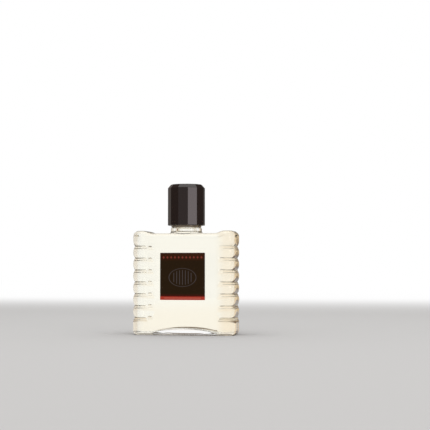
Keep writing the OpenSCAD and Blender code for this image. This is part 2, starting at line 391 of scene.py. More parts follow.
def quadrant():
    """Columns from the middle of the front to the middle of the right end: x, y and the outward normal."""
    panel = OUT_D * np.tan(np.linspace(0, math.atan(PANEL_X / OUT_D), PANEL_COLUMNS))[:-1]
    roll = PANEL_X + np.linspace(0, PANEL_ROLL, ROLL_COLUMNS)
    rest = np.linspace(roll[-1], STRAIGHT_X, STRAIGHT_COLUMNS)[1:-1]
    x = np.concatenate([panel, roll, rest])
    flat = np.stack([x, np.full_like(x, -OUT_D), np.zeros_like(x), -np.ones_like(x)], -1)
    turn = np.linspace(0, math.pi / 2, CORNER_COLUMNS)
    normal = np.stack([np.sin(turn), -np.cos(turn)], -1)
    corner = np.concatenate([np.array([STRAIGHT_X, -STRAIGHT_Y]) + CORNER_R * normal, normal], -1)
    y = np.linspace(-STRAIGHT_Y, 0, STRAIGHT_COLUMNS)[1:]
    side = np.stack([np.full_like(y, OUT_W), y, np.ones_like(y), np.zeros_like(y)], -1)
    return np.concatenate([flat, corner, side])


right_front = quadrant()
right_back = (right_front * [1, -1, 1, -1])[-2::-1]
right = np.concatenate([right_front, right_back])
left = (right * [-1, -1, -1, -1])[1:-1]
around = np.concatenate([right, left])
place, normal = around[:, :2], around[:, 2:]
COLUMNS = len(place)
print("columns round the body:", COLUMNS)

# %% [markdown]
# ### The ribbed wall
#
# A rib is an arc of a circle, 10.57 mm from groove to groove and 1.5 mm deep, so its radius is about
# 10 mm. At each groove two arcs would meet in a knife edge, which glass never has, so the distance from
# the groove is softened a little. Two narrow creases, one at the groove and a shallower one 2 mm below
# it, are what draws a pair of thin lines there. The wall's depth is the lesser of the rib's depth and the
# depth of the panel's rolled edge: that makes each groove run out in a point beside the flat panel.

# %% Build the wall rings
GROOVE_Z, PITCH, GROOVE_DEPTH, GROOVES = 15.4, 10.57, 1.5, 7
RIB_R = ((PITCH / 2) ** 2 + GROOVE_DEPTH**2) / (2 * GROOVE_DEPTH)
HEEL_R = 3.4
SOFT = 0.28  # how far the groove's edge is softened
BLEND = 0.12  # how far the rib and the panel's rolled edge are blended
CREASE_W = 0.27  # half width of a crease
CREASES = [(0.0, 0.38), (-2.0, 0.2)]  # height from the groove, and depth


def rib_depth(z):
    """Depth below the crests: R - sqrt(R^2 - t^2), where t is how far z is from the crest, and for each
    crease its depth times exp(-(d / w)^2), where d is how far z is from the crease."""
    groove = GROOVE_Z + PITCH * np.clip(np.round((z - GROOVE_Z) / PITCH), 0, GROOVES - 1)
    off = np.sqrt((z - groove) ** 2 + SOFT**2)
    t = np.clip(PITCH / 2 - off, 0, None)
    crease = sum(deep * np.exp(-(((z - groove - shift) / CREASE_W) ** 2)) for shift, deep in CREASES)
    return RIB_R - np.sqrt(RIB_R**2 - t**2) + crease


def wall_depth(z):
    """Rows x columns of depths below the outline, the softened lesser of rib and panel edge.

    Past the panel its edge drops by R - sqrt(R^2 - run^2), where run is how far along x a column is."""
    rib = PROUD + rib_depth(z)[:, None]
    run = np.clip(np.abs(place[:, 0]) - PANEL_X, 0, PANEL_EDGE_R)
    edge = (PANEL_EDGE_R - np.sqrt(PANEL_EDGE_R**2 - run**2))[None]
    mix = np.clip(0.5 + 0.5 * (edge - rib) / BLEND, 0, 1)
    return np.clip(edge * (1 - mix) + rib * mix - BLEND * mix * (1 - mix), 0, None)


# Rows lie close together at each crease and further apart on the ribs.
fine = np.array([-0.6, -0.46, -0.35, -0.25, -0.16, -0.08, 0, 0.08, 0.16, 0.25, 0.35, 0.46, 0.6])
groove_rows = np.concatenate([[-4.1, -3.2], CREASES[1][0] + fine, [-1.0], fine, [0.85, 1.3, 2.0, 3.0, 4.1]])
centres = GROOVE_Z + PITCH * np.arange(GROOVES)
crest_rows = GROOVE_Z + PITCH * (np.arange(GROOVES + 1) - 0.5)
wall_z = np.sort(np.concatenate([[HEEL_R, 7.0], (centres[:, None] + groove_rows).ravel(), crest_rows]))
depth = wall_depth(wall_z)
wall = raised(place[None] - normal[None] * depth[..., None], wall_z[:, None])
print("wall rings:", len(wall), "groove depth in mm:", round(float(rib_depth(np.array([GROOVE_Z]))[0]), 3))

# %% [markdown]
# ### The base and heel
#
# Under the wall the heel rolls in on a small radius to the rim that the bottle stands on. Inside the rim
# the base is pushed up 2 mm, so that the bottle can't rock on a bulging middle. Half a cosine wave gives
# the push-up its slope, because it starts and ends level and so leaves no edge in the glass.

# %% Build the base and heel rings
PUSH_UP = 2.0
PUSH_HALF_L, PUSH_SLOPE_L = 28, 12
PUSH_HALF_W, PUSH_SLOPE_W = 11, 5


def smooth_step(t):
    """0 below t = 0, 1 above t = 1, and half a cosine wave between them."""
    return (1 - np.cos(np.pi * np.clip(t, 0, 1))) / 2


def base_height(x, y):
    """PUSH_UP in the middle, falling to 0 at PUSH_HALF_L along the base and PUSH_HALF_W across it."""
    lengthwise = smooth_step((PUSH_HALF_L - np.abs(x)) / PUSH_SLOPE_L)
    return PUSH_UP * lengthwise * smooth_step((PUSH_HALF_W - np.abs(y)) / PUSH_SLOPE_W)


turn = np.linspace(0, math.pi / 2, 8)[:-1]
inset = depth[0][None] + (HEEL_R * (1 - np.sin(turn)))[:, None]
heel = raised(place[None] - normal[None] * inset[..., None], (HEEL_R * (1 - np.cos(turn)))[:, None])
# Shares of the way out to the heel, close together where the push-up slopes.
share = np.array([0.08, 0.2, 0.32, 0.42, 0.5, 0.56, 0.61, 0.66, 0.7, 0.74, 0.78, 0.83, 0.88, 0.94, 0.98])
base_plan = heel[:1, :, :2] * share[:, None, None]
base = raised(base_plan, base_height(base_plan[..., 0], base_plan[..., 1]))
print("base rings:", len(base), "heel rings:", len(heel))

# %% [markdown]
# ### The shoulder
#
# From above, the shoulder is a height over the plan: level in the middle, 2.3 mm higher over the ribbed
# ends, rolled down at the rim on a radius of 5 mm, and swept up to the neck. Each column runs straight
# from the rim to the neck. The steps are short at both ends, where the surface is steep. A cage smoothed by
# Subdivision Surface could give such a saddle too, but a formula meets the ribbed wall exactly.

# %% Build the shoulder rings
SHOULDER_Z, END_RISE, SADDLE_FLAT, SADDLE_L = 90.4, 2.3, 28.0, 9.0
CROWN_R, BEAD_R, FLARE_R, BEAD_Z = 5.0, 13.9, 2.4, 95.4
SHOULDER_RINGS = 43


def inside_distance(x, y, half_w, half_d, corner):
    """How far a point lies inside a rounded rectangle.

    At a corner that is the corner's radius less the distance to the middle of its arc, and elsewhere it is
    the distance to the nearest side."""
    past_x, past_y = np.abs(x) - (half_w - corner), np.abs(y) - (half_d - corner)
    from_arc = np.hypot(np.maximum(past_x, 0), np.maximum(past_y, 0))
    return corner - from_arc - np.minimum(np.maximum(past_x, past_y), 0)


def rolled(distance, radius):
    """How far an edge rounded by radius has dropped, distance in from the rim."""
    near = radius - np.clip(distance, 0, radius)
    return radius - np.sqrt(radius**2 - near**2)


def saddle(x):
    """Height of the shoulder: level to SADDLE_FLAT from the middle, then up by END_RISE over SADDLE_L."""
    return SHOULDER_Z + END_RISE * smooth_step((np.abs(x) - SADDLE_FLAT) / SADDLE_L)


top_depth = depth[-1]
rim_xy = place - normal * top_depth[:, None]
rim_r = np.hypot(rim_xy[:, 0], rim_xy[:, 1])
way = rim_xy / rim_r[:, None]  # the direction in which each column lies from the axis
share = (1 - np.cos(np.linspace(0, math.pi, SHOULDER_RINGS))) / 2
radius = rim_r[None] - (rim_r[None] - BEAD_R) * share[:, None]
top_plan = way[None] * radius[..., None]
inside = inside_distance(top_plan[..., 0], top_plan[..., 1], OUT_W, OUT_D, CORNER_R) - top_depth[None]
flare = FLARE_R - np.sqrt(FLARE_R**2 - np.clip(BEAD_R + FLARE_R - radius, 0, FLARE_R) ** 2)
top_z = saddle(top_plan[..., 0]) - rolled(inside, CROWN_R) + flare
shoulder = raised(top_plan, top_z)
climb = np.array([0.35, 0.7])[:, None]
upper_z = wall_z[-1] + (top_z[:1] - wall_z[-1]) * climb
upper = raised(np.broadcast_to(rim_xy[None], upper_z.shape + (2,)), upper_z)
print("shoulder rings:", len(shoulder))

# %% [markdown]
# ### The neck and its thread
#
# The neck has a bead, a right-hand screw thread of two turns at 3.175 mm, and a lip. A thread could be
# swept along a helix and joined on. Here nothing has to be joined, because the thread is only a radius that
# depends on height and angle: how far a point is from the helix, measured along the height, says how much
# of the ridge it gets. Both ends of the ridge fade out.
#
# No real edge is perfectly sharp, and its rounding is what catches the light. `fillet` takes the corners
# of a profile and rounds each by its own radius, so the profile can be written down as a few corners.

# %% Rounded profiles


def fillet(corners, steps=5):
    """Profile of (radius, height, rounding) corners in mm, with each corner replaced by an arc.

    The arc touches both edges at rounding * tan(turn / 2) from the corner, where turn is the angle that
    the profile turns through there. Corners with a rounding of 0 stay as they are. A point a little
    before and after each arc keeps the shading of the flat parts flat."""
    corners = np.asarray(corners, float)
    made = [corners[0, :2]]
    for before, corner, after in zip(corners[:-2], corners[1:-1], corners[2:]):
        back, ahead = before[:2] - corner[:2], after[:2] - corner[:2]
        back_len, ahead_len = np.linalg.norm(back), np.linalg.norm(ahead)
        back, ahead = back / back_len, ahead / ahead_len
        turn = math.pi - math.acos(np.clip(back @ ahead, -1, 1))
        if corner[2] <= 0 or turn < 1e-3:
            made.append(corner[:2])
            continue
        # An arc takes less than half of either edge, so that two arcs on one edge never meet.
        reach = min(corner[2] * math.tan(turn / 2), back_len * 0.48, ahead_len * 0.48)
        t = np.linspace(0, 1, steps + 1)[:, None]
        start, end = corner[:2] + back * reach, corner[:2] + ahead * reach
        # A rational quadratic with this weight is an exact circular arc.
        weight = math.cos(turn / 2)
        bottom = (1 - t) ** 2 + 2 * weight * t * (1 - t) + t**2
        made.append(start + back * min(0.3, (back_len - reach) * 0.3))
        made.extend(((1 - t) ** 2 * start + 2 * weight * t * (1 - t) * corner[:2] + t**2 * end) / bottom)
        made.append(end + ahead * min(0.3, (ahead_len - reach) * 0.3))
    made.append(corners[-1, :2])
    return np.array(made)


print("a rounded corner has", len(fillet([(0, 0, 0), (5, 0, 1), (5, 5, 0)])) - 2, "points")

# %% Build the neck rings
ROOT_R, CREST_R, BORE_R = 10.85, 11.9, 7.6
THREAD_PITCH, THREAD_START_Z, THREAD_TURNS = 3.175, 103.0, 2.05
RIDGE_HALF, RIDGE_SLOPE = 0.95, 0.6  # half width of the ridge at its foot, and width of its slope


def ridge(z, angle, start_z, turns, half, slope):
    """Height of a thread's ridge from 0 to 1, round the nearest turn of the helix."""
    turn_at = (z - start_z) / THREAD_PITCH - angle / (2 * math.pi)
    off = np.abs(turn_at - np.round(turn_at)) * THREAD_PITCH
    done = np.round(turn_at) + angle / (2 * math.pi)
    ends = smooth_step((done + 0.1) / 0.12) * smooth_step((turns - done) / 0.12)
    return smooth_step((half - off) / slope) * ends


bead_corners = [
    (BEAD_R, BEAD_Z - 0.9, 0),
    (BEAD_R, BEAD_Z, 0.5),
    (ROOT_R, BEAD_Z + 0.15, 0.5),
    (ROOT_R, BEAD_Z + 1, 0),
]
bead = along(way, fillet(bead_corners))
thread_z = np.arange(BEAD_Z + 1.3, LIP_Z - 1.0, 0.3)[:, None]
angle = np.arctan2(way[:, 1], way[:, 0])
risen = ridge(thread_z, angle[None], THREAD_START_Z, THREAD_TURNS, RIDGE_HALF, RIDGE_SLOPE)
thread = raised(way[None] * (ROOT_R + (CREST_R - ROOT_R) * risen)[..., None], thread_z)
lip_corners = [(ROOT_R, LIP_Z - 0.9, 0), (ROOT_R, LIP_Z, 0.7), (BORE_R, LIP_Z, 0.35), (BORE_R, LIP_Z - 1, 0)]
lip = along(way, fillet(lip_corners))
print("bead, thread and lip rings:", len(bead), len(thread), len(lip))

# %% [markdown]
# ### The hollow
#
# A Solidify modifier would give a wall of one thickness all over, but in a real flask the glass is thicker
# in the floor and the corners. So the inner skin is worked out too, by a function, because the liquid needs
# the same shape a hair's breadth smaller. It comes down the bore, flares into the ceiling, rolls into the
# walls and ends on a floor that arches up along its length, as the bases of such bottles do. The floor's
# edge is rounded, so that the light in the thick glass under it makes one clean arch.

# %% The hollow's walls and floor
WALL, END_WALL, TOP_WALL, HOLLOW_CORNER_R, CEILING_R = 3.2, 2.4, 2.2, 5.5, 4.0
IN_W, IN_D, CEILING_Z = HALF_W - END_WALL, HALF_D - PROUD - WALL, SHOULDER_Z - TOP_WALL
FLOOR_Z, FLOOR_RISE, ARCH_HALF, FLOOR_EDGE_R, BORE_FLARE = 2.2, 3.2, 28.5, 1.5, 1.4
ARCH_BLEND, ARCH_PAST = 0.5, 6  # softening where the arch meets the level floor, and how far it is drawn on


def reach_to(half_w, half_d, corner):
    """Distance from the axis to a rounded rectangle along each column's direction, by halving."""
    low, high = np.zeros(COLUMNS), np.full(COLUMNS, 80.0)
    for _ in range(40):
        middle = (low + high) / 2
        inside = inside_distance(way[:, 0] * middle, way[:, 1] * middle, half_w, half_d, corner) > 0
        low, high = np.where(inside, middle, low), np.where(inside, high, middle)
    return low


def floor_height(x):
    """The floor arches up by FLOOR_RISE over the middle of its length, along part of a circle."""
    arch_r = (ARCH_HALF**2 + FLOOR_RISE**2) / (2 * FLOOR_RISE)
    run = np.clip(x, -ARCH_HALF - ARCH_PAST, ARCH_HALF + ARCH_PAST)
    arch = FLOOR_Z + FLOOR_RISE - arch_r + np.sqrt(arch_r**2 - run**2)
    mix = np.clip(0.5 + 0.5 * (arch - FLOOR_Z) / ARCH_BLEND, 0, 1)
    return FLOOR_Z * (1 - mix) + arch * mix + ARCH_BLEND * mix * (1 - mix)


middle_z, end_z = floor_height(np.array([0.0, IN_W]))
print("floor height in mm, in the middle and at the ends:", round(middle_z, 2), round(end_z, 2))

# %% Build the inner rings
BORE_RINGS, CEILING_RINGS, WALL_RINGS, FLOOR_RINGS = 5, 26, 12, 24


def hollow(gap, top_z):
    """Rings of the hollow from top_z in the bore down to the floor, all moved in by gap."""
    half_w, half_d, corner = IN_W - gap, IN_D - gap, HOLLOW_CORNER_R - gap
    bore, ceiling = BORE_R - gap, CEILING_Z - gap
    edge = reach_to(half_w, half_d, corner)
    bore_z = np.linspace(top_z, ceiling + BORE_FLARE, BORE_RINGS)
    down = along(way, np.stack([np.full(BORE_RINGS, bore), bore_z], -1))
    turn = np.linspace(0, math.pi / 2, 7)[1:-1]
    out, drop = BORE_FLARE * (1 - np.cos(turn)), BORE_FLARE * (1 - np.sin(turn))
    flare = along(way, np.stack([bore + out, ceiling + drop], -1))
    # The steps get ever shorter towards the rim, where the ceiling rolls down.
    share = np.sin(np.linspace(0, 1, CEILING_RINGS) * math.pi / 2)[:, None]
    plan = way[None] * ((bore + BORE_FLARE) + (edge[None] - bore - BORE_FLARE) * share)[..., None]
    inside = inside_distance(plan[..., 0], plan[..., 1], half_w, half_d, corner)
    ceil_z = ceiling - SHOULDER_Z + saddle(plan[..., 0]) - rolled(inside, CEILING_R)
    ceil = raised(plan, ceil_z)
    rim = way * edge[:, None]
    low = floor_height(rim[:, 0]) + gap + FLOOR_EDGE_R
    level = np.linspace(0, 1, WALL_RINGS + 2)[1:-1, None]
    side_z = ceil_z[-1:] + (low[None] - ceil_z[-1:]) * level
    side = raised(np.broadcast_to(rim[None], side_z.shape + (2,)), side_z)
    plan = rim[None] * np.cos(np.linspace(0, math.pi / 2, FLOOR_RINGS + 1)[:-1])[:, None, None]
    inside = inside_distance(plan[..., 0], plan[..., 1], half_w, half_d, corner)
    floor = raised(plan, floor_height(plan[..., 0]) + gap + rolled(inside, FLOOR_EDGE_R))
    return np.concatenate([down, flare, ceil, side, floor])


inner = hollow(0.0, FILL_Z)
print("rings of the hollow:", len(inner))

# %% Build the flask
above_fill = np.linspace(LIP_Z - 1.6, FILL_Z, 5)[:-1]
above = along(way, np.stack([np.full(len(above_fill), BORE_R), above_fill], -1))
rings = np.concatenate([base, heel, wall, upper, shoulder, bead, thread, lip, above, inner])
wet = np.arange(len(rings) - 1) >= len(rings) - len(inner)
ends = poles(float(base_height(0.0, 0.0)), middle_z)
skin("flask", rings, ends, "bottle", "glass_bottle", [glass, wet_glass], wet)

# %% [markdown]
# ## The aftershave
#
# The liquid is the same hollow, 0.08 mm smaller, turned inside out by taking its rings from the floor
# up. The gap is there because a ray can't tell two faces in one place apart. The top dips in the middle,
# because a liquid climbs a little way up the glass that holds it.

# %% Build the liquid
GAP = 0.08
DIP, DIP_FADE = 0.7, 1.1  # how deep the top dips, and over what width it climbs to the glass
inside_out = hollow(GAP, FILL_Z)[::-1]
edge_r = BORE_R - GAP
dip_r = edge_r * np.array([0.94, 0.86, 0.72, 0.5, 0.25])
dip_z = FILL_Z - DIP * (1 - np.exp((dip_r - edge_r) / DIP_FADE))
dip = along(way, np.stack([dip_r, dip_z], -1))
liquid_rings = np.concatenate([inside_out, dip])
ends = poles(middle_z + GAP, FILL_Z - DIP)
skin("liquid", liquid_rings, ends, "bottle", "aftershave_liquid", [aftershave])

# %% [markdown]
# ## The cap's outer shell
#
# The shell is a prism with twelve flats. A knife-sharp prism looks like a drawing, so each upright edge
# gets a small radius, and so do the bevel's edges. A ring of the grid is a rounded polygon: an arc at
# each corner, and short straight steps along each flat, fine enough that the round bore inside stays
# round. The shell is polished and nearly black, and the insert inside it is a duller, browner moulding.

# %% Black plastics


def plastic(name, colour, haze, wave):
    """A moulded plastic. haze is the lowest and highest roughness and a scale, wave a height and a scale."""
    made, tree, shader, _ = material(name)
    shader.inputs["Base Color"].default_value = (*colour, 1.0)
    shader.inputs["IOR"].default_value = 1.5
    hazed(tree, shader, *haze)
    waved(tree, shader, *wave)
    return made


gloss_black = plastic("black_gloss_plastic", (0.0135, 0.0075, 0.006), (0.05, 0.1, 500.0), (0.000012, 90.0))
insert_black = plastic("black_insert_plastic", (0.25, 0.2, 0.14), (0.18, 0.28, 900.0), (0.00001, 90.0))
print("black plastics:", gloss_black.name, insert_black.name)

# %% The prism's rings
FLATS, CORNER_ROUND = 12, 0.45


def prism(profile):
    """Rings of a rounded polygon from (distance to the flats, height) points.

    A corner's arc of radius c is centred (a - c) / cos(half) from the axis, a being the distance to the
    flats, so the arc meets both flats smoothly. The flats between the arcs are cut into even steps."""
    half = math.pi / FLATS
    corner = (np.arange(FLATS) + 0.5) * 2 * half - math.pi / 2
    swing = np.linspace(-half, half, 5)
    a = profile[:, 0]
    c = np.minimum(CORNER_ROUND, a * 0.3)
    centre = (a - c) / math.cos(half)
    to_corner = np.stack([np.cos(corner), np.sin(corner)], -1)
    around = corner[:, None] + swing
    normal = np.stack([np.cos(around), np.sin(around)], -1)
    arc = centre[:, None, None, None] * to_corner[None, :, None] + c[:, None, None, None] * normal[None]
    t = np.array([0.03, 0.2, 0.4, 0.6, 0.8, 0.97])[:, None]
    flat = arc[:, :, -1:, :] * (1 - t) + np.roll(arc, -1, axis=1)[:, :, :1, :] * t
    return raised(np.concatenate([arc, flat], 2).reshape(len(profile), -1, 2), profile[:, 1:])


print("columns round the prism:", prism(np.array([[10.0, 0.0]])).shape[1])

# %% Build the shell
APOTHEM, TOP_Z, FOOT_Z = shell_high[1], shell_high[2], shell_low[2]
BEVEL_W, BEVEL_H, LEDGE_W, TOP_T = 2.7, 3.2, 1.6, 3.0
INSERT_R, LEDGE_Z = insert_high[0], insert_high[2]
SHELL_BORE_R = INSERT_R + 0.03
MOUTH = 0.3  # chamfer at the mouth of the bore

outer_corners = [
    (SHELL_BORE_R + MOUTH, FOOT_Z, 0),
    (APOTHEM, FOOT_Z, 0.3),
    (APOTHEM, TOP_Z - BEVEL_H, 0.5),
    (APOTHEM - BEVEL_W, TOP_Z, 0.5),
    (APOTHEM - BEVEL_W - 3, TOP_Z, 0),
    (4, TOP_Z, 0),
]
cavity_r, cavity_z = SHELL_BORE_R - LEDGE_W, TOP_Z - TOP_T
bore_corners = [
    (3, cavity_z, 0),
    (cavity_r, cavity_z, 1.2),
    (cavity_r, LEDGE_Z, 0.1),
    (SHELL_BORE_R, LEDGE_Z, 0.1),
    (SHELL_BORE_R, FOOT_Z + MOUTH, 0),
    (SHELL_BORE_R + MOUTH, FOOT_Z, 0),
]
outer = prism(fillet(outer_corners, 4))
# The first ring is made round, because there the flats' foot meets the round bore.
outer[0, :, :2] *= (SHELL_BORE_R + MOUTH) / np.hypot(outer[0, :, 0], outer[0, :, 1])[:, None]
# The bore's columns keep the directions of the prism's, so that the two join.
spokes = outer[2, :, :2] / np.hypot(outer[2, :, 0], outer[2, :, 1])[:, None]
shell_rings = np.concatenate([along(spokes, fillet(bore_corners, 3)[:-1]), outer])
ends = poles(cavity_z, TOP_Z)
skin("cap_prism", shell_rings, ends, "cap", "cap_shell", [gloss_black])

# %% [markdown]
# ## The threaded insert
#
# Inside the shell sits a plain round cap with the thread. Its own ridge runs half a pitch away from the
# neck's, so the two lie in each other's grooves and stay there while the cap climbs. The same `ridge`
# makes both, and here it is narrower and reaches inwards.

# %% Build the insert
INSERT_BORE_R, ROOF_Z, THREAD_IN_R = CREST_R + 0.3, liner_high[2], 11.05
INSERT_COLUMNS, INSERT_TURNS = 120, 1.7
IN_THREAD_TOP, IN_THREAD_LOW, IN_RIDGE_HALF, IN_RIDGE_SLOPE = 108.0, 100.2, 0.6, 0.4
SKIRT_Z, INSERT_TOP_Z = insert_low[2], insert_high[2]


def compass(columns):
    """Evenly spaced directions round the Z axis, and their angles from -pi to pi."""
    angle = np.arange(columns) * 2 * math.pi / columns
    wrapped = np.where(angle > math.pi, angle - 2 * math.pi, angle)
    return np.stack([np.cos(angle), np.sin(angle)], -1), wrapped


round_insert, in_angle = compass(INSERT_COLUMNS)
roof_corners = [(3, ROOF_Z, 0), (INSERT_BORE_R, ROOF_Z, 0.4), (INSERT_BORE_R, ROOF_Z - 4, 0)]
in_z = np.concatenate([[109.5], np.arange(IN_THREAD_TOP, IN_THREAD_LOW, -0.28), [98.5]])[:, None]
in_start_z = THREAD_START_Z - THREAD_PITCH / 2
risen = ridge(in_z, in_angle[None], in_start_z, INSERT_TURNS, IN_RIDGE_HALF, IN_RIDGE_SLOPE)
in_r = INSERT_BORE_R - (INSERT_BORE_R - THREAD_IN_R) * risen
in_thread = raised(round_insert[None] * in_r[..., None], in_z)
skirt_corners = [
    (INSERT_BORE_R, SKIRT_Z + 1.5, 0),
    (INSERT_BORE_R, SKIRT_Z, 0.35),
    (INSERT_R, SKIRT_Z, 0.8),
    (INSERT_R, INSERT_TOP_Z, 0.3),
    (3, INSERT_TOP_Z, 0),
]
roof, skirt = along(round_insert, fillet(roof_corners)), along(round_insert, fillet(skirt_corners))
insert_rings = np.concatenate([roof, in_thread, skirt])
ends = poles(ROOF_Z, INSERT_TOP_Z)
skin("cap_thread", insert_rings, ends, "cap", "cap_insert", [insert_black])

# %% [markdown]
# ## The sealing disc
#
# Under the insert's roof lies a foam disc that seals the neck when the cap is tight. It doesn't show while
# the cap is on. A plain disc would do from afar, but one that has been in use carries a pressed ring, and
# four more corners in the profile give it. A cell pattern sets the fine pits and the speckle of the foam
# at once, so that the two always agree.

# %% Build the disc
foam, tree, shader, _ = material("liner_foam")
pattern = node(tree, "ShaderNodeTexVoronoi", {"feature": "F1"}, Vector=place_on(tree), Scale=2600.0)
cells = pattern.outputs["Distance"]
pale = node(tree, "ShaderNodeMapRange", Value=cells, i1=0.0, i2=0.8, i3=0.8, i4=0.92).outputs[0]
tone = node(tree, "ShaderNodeCombineColor", Red=pale, Green=pale, Blue=product(tree, pale, 0.95))
tree.links.new(tone.outputs[0], shader.inputs["Base Color"])
pits = node(tree, "ShaderNodeBump", Strength=0.6, Distance=0.00006, Height=cells)
tree.links.new(pits.outputs[0], shader.inputs["Normal"])
shader.inputs["Roughness"].default_value = 0.75

LINER_R, UNDER_Z, OVER_Z = liner_high[0], liner_low[2], liner_high[2]
PRESSED = 0.06  # how deep the lip, through the plug's flange, has pressed its ring into the foam
disc_corners = [
    (3, UNDER_Z, 0),
    (7.4, UNDER_Z, 0.2),
    (7.9, UNDER_Z + PRESSED, 0.2),
    (10.0, UNDER_Z + PRESSED, 0.2),
    (10.5, UNDER_Z, 0.2),
    (LINER_R, UNDER_Z, 0.12),
    (LINER_R, OVER_Z, 0.12),
    (3, OVER_Z, 0),
]
round_small, _ = compass(96)
disc = along(round_small, fillet(disc_corners, 3))
skin("cap_disc", disc, poles(UNDER_Z, OVER_Z), "liner", "cap_liner", [foam])

# %% [markdown]
# ## The pour plug
#
# The plug is snapped into the bore and lets the aftershave out a little at a time. It is a thin tube with
# two sealing ribs and a flange that rests on the lip. Cutting the hole out of a solid plug would need a
# boolean. As it is open right through, its profile can simply come back to where it began, and the rings
# close on themselves without any end points.

# %% Build the plug
polyethylene = plastic("natural_polyethylene", (0.86, 0.86, 0.83), (0.32, 0.46, 700.0), (0.00002, 300.0))
FLANGE_R, FLANGE_TOP, PLUG_FOOT, POUR_R = plug_high[0], plug_high[2], plug_low[2], 2.5
TUBE_R, RIB_ROOT_R, TUBE_IN_R = BORE_R - 0.03, BORE_R - 0.38, BORE_R - 1.48
PLUG_STEP = (LIP_Z - PLUG_FOOT) / 5


def sealing_rib(foot):
    """Corners of one rib from its foot upwards: a slope out to the bore, a short land, and a step back."""
    return [
        (RIB_ROOT_R, foot, 0.1),
        (TUBE_R, foot + 0.5, 0.2),
        (TUBE_R, foot + PLUG_STEP, 0.15),
        (RIB_ROOT_R, foot + PLUG_STEP + 0.1, 0.1),
    ]


plug_corners = [
    (POUR_R, FLANGE_TOP - 0.4, 0),
    (POUR_R, LIP_Z, 0.15),
    (TUBE_IN_R, LIP_Z, 0.25),
    (TUBE_IN_R, PLUG_FOOT, 0.15),
    (RIB_ROOT_R, PLUG_FOOT, 0.3),
    *sealing_rib(PLUG_FOOT + PLUG_STEP),
    *sealing_rib(PLUG_FOOT + 3 * PLUG_STEP),
    (RIB_ROOT_R, LIP_Z, 0.1),
    (FLANGE_R, LIP_Z, 0.2),
    (FLANGE_R, FLANGE_TOP, 0.25),
    (POUR_R, FLANGE_TOP, 0.2),
    (POUR_R, FLANGE_TOP - 0.4, 0),
]
plug = along(round_small, fillet(plug_corners, 3)[:-1])
skin("reducer", plug, None, "bottle", "pour_plug", [polyethylene])

# %% [markdown]
# ## The label
#
# The label is a dark film with a red band along its foot. Its print is all made from places on the label
# in millimetres: a band is a range of heights, a row of lozenges is a distance folded back on itself, and
# the dim ornament in the middle is a set of fine upright lines inside an oval. An image would do too,
# but print made this way stays sharp however near the eye comes, and every part of it can be moved.

# %% Places on the label
label, tree, shader, _ = material("label_paper")
x, y, z = places(tree)
CENTRE_Z = (label_low[2] + label_high[2]) / 2
HALF_LABEL_W, HALF_LABEL_H = label_high[0], (label_high[2] - label_low[2]) / 2
side, into = product(tree, x, 1000.0), product(tree, y, 1000.0)
up = math_node(tree, "SUBTRACT", product(tree, z, 1000.0), CENTRE_Z)
across, upright = math_node(tree, "ABSOLUTE", side), math_node(tree, "ABSOLUTE", up)

FILM, BAND = (0.0235, 0.011, 0.0022), (0.47, 0.047, 0.026)
WARM, RED_PRINT, GREY_PRINT = (0.044, 0.0105, 0.0012), (0.21, 0.038, 0.024), (0.11, 0.095, 0.1)
DEEP_RED, ROSE = (0.075, 0.006, 0.002), (0.62, 0.2, 0.15)
print("label in mm:", round(2 * HALF_LABEL_W, 2), "by", round(2 * HALF_LABEL_H, 2))

# %% The row of lozenges and the ornament
HEAD_H = 6.4  # height of the warmer strip at the head
ROW_DOWN, ROW_HALF_W, ROW_STEP = 4.1, 18.3, 1.7
LOZENGE_HALF_W, LOZENGE_HALF_H = 1.0, 1.25
OVAL_HALF_W, OVAL_HALF_H, OVAL_DOWN = 12.5, 8.2, 1.0
REED_STEP, REED_HALF_W = 1.3, 0.34


def squared_share(tree, value, length):
    """(value / length) squared."""
    return math_node(tree, "POWER", math_node(tree, "DIVIDE", value, length), 2.0)


colour = over(tree, FILM, WARM, within(tree, up, HALF_LABEL_H - HEAD_H, HALF_LABEL_H + 1, 0.9))
# A lozenge is where the shares of its half width and half height add up to less than 1.
folded = math_node(tree, "PINGPONG", side, ROW_STEP)
row = math_node(tree, "ABSOLUTE", math_node(tree, "SUBTRACT", up, HALF_LABEL_H - ROW_DOWN))
lozenge_width = math_node(tree, "DIVIDE", folded, LOZENGE_HALF_W)
lozenge = math_node(tree, "ADD", lozenge_width, math_node(tree, "DIVIDE", row, LOZENGE_HALF_H))
lozenges = product(tree, within(tree, lozenge, -1, 1, 0.12), within(tree, across, -1, ROW_HALF_W))
colour = over(tree, colour, RED_PRINT, lozenges)
# The oval is 1 on its rim: the square root of both squared shares added.
oval_x = squared_share(tree, side, OVAL_HALF_W)
oval_z = squared_share(tree, math_node(tree, "ADD", up, OVAL_DOWN), OVAL_HALF_H)
oval = math_node(tree, "SQRT", math_node(tree, "ADD", oval_x, oval_z))
reeds = within(tree, math_node(tree, "PINGPONG", side, REED_STEP), -1, REED_HALF_W, 0.06)
reeds = product(tree, reeds, within(tree, oval, -1, 0.8, 0.01))
ornament = math_node(tree, "MAXIMUM", reeds, within(tree, oval, 0.95, 1.0, 0.008))
colour = over(tree, colour, GREY_PRINT, product(tree, ornament, 0.6))
print("the row holds a lozenge every", 2 * ROW_STEP, "mm")

# %% The frame line, the red band and the stuck side
FRAME_IN, FRAME_LINE_W = 0.6, 0.15
BAND_H, FADE_LOW, FADE_H = 3.1, 3.0, 6.2  # the band's top, and where the deep red above it fades
HAIR_LOW, HAIR_HIGH, HAIR_HALF_W = 1.5, 1.9, 16.5
FOOT = -HALF_LABEL_H

